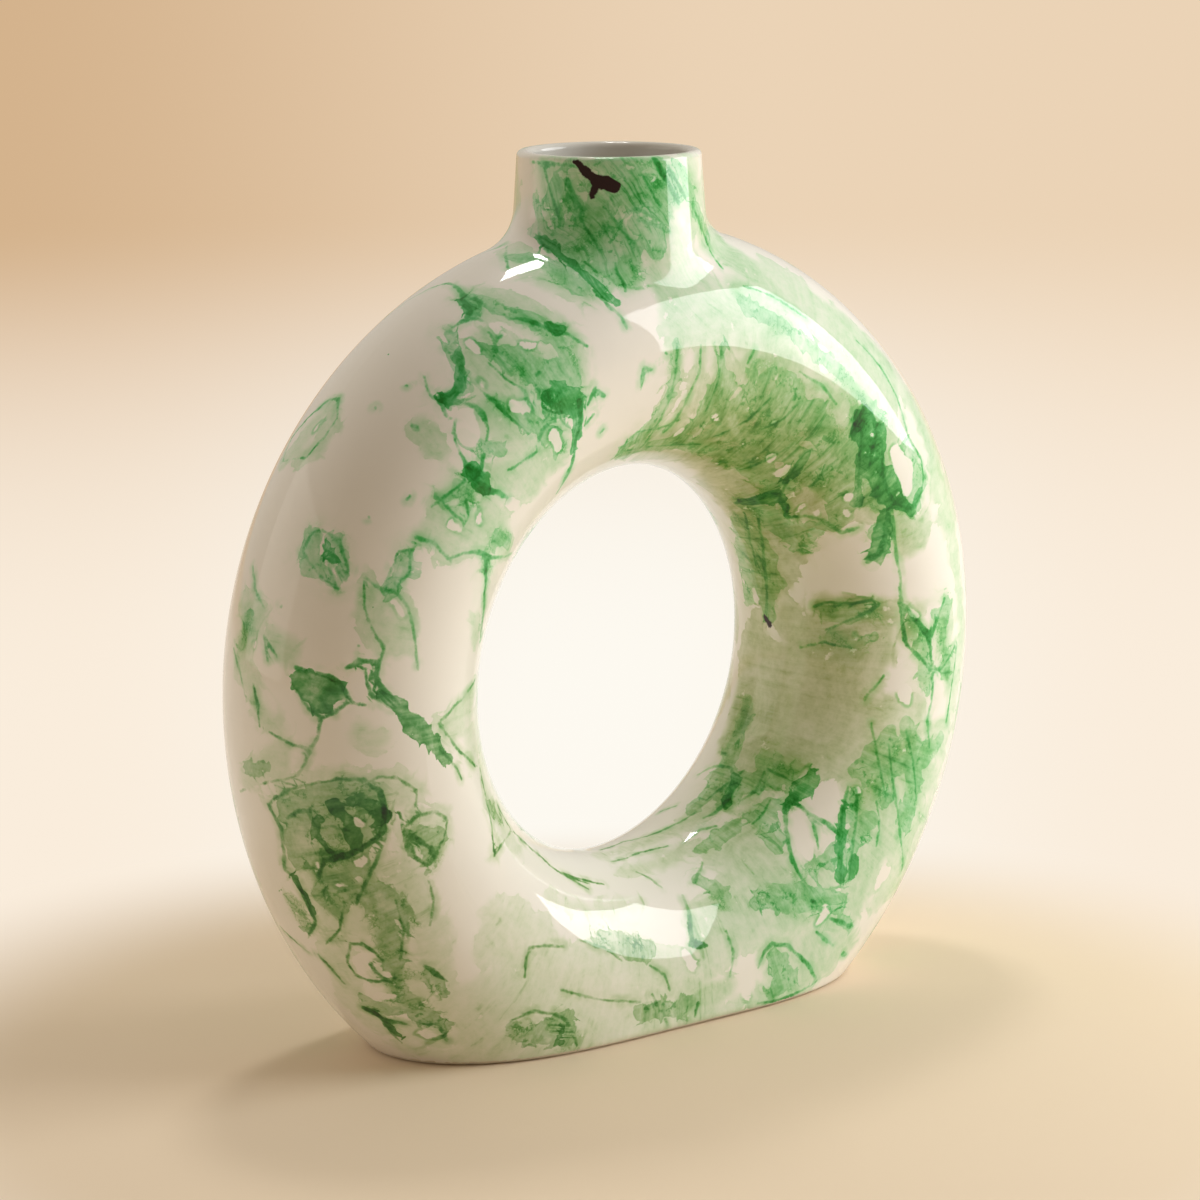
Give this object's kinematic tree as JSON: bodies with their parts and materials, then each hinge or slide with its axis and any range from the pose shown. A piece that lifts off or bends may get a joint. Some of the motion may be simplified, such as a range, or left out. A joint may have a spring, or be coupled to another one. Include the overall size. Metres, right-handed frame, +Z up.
{
  "type": "donut vase",
  "caption": "Donut-shaped ceramic vase: a hollow ring standing on edge, open in the middle, with a flat foot and a short flared neck, in marbled green and white glaze.",
  "frame": {"origin": "centre of the foot, on the surface that the vase stands on", "axes": "+Z up through the neck, Y along the axis of the hole in the ring, front towards -Y"},
  "size_m": [0.2336, 0.0646, 0.23],
  "materials": {
    "marbled_glaze": "high gloss, cream white with green marbling",
    "neck_glaze": "high gloss, dense green marbling, grey white inside",
    "bare_clay": "unglazed underneath, glazed on its rolled edge"
  },
  "bodies": {
    "root": {"front_shell": "marbled_glaze", "back_shell": "marbled_glaze", "neck": "neck_glaze", "foot": "bare_clay"}
  },
  "joints": []
}
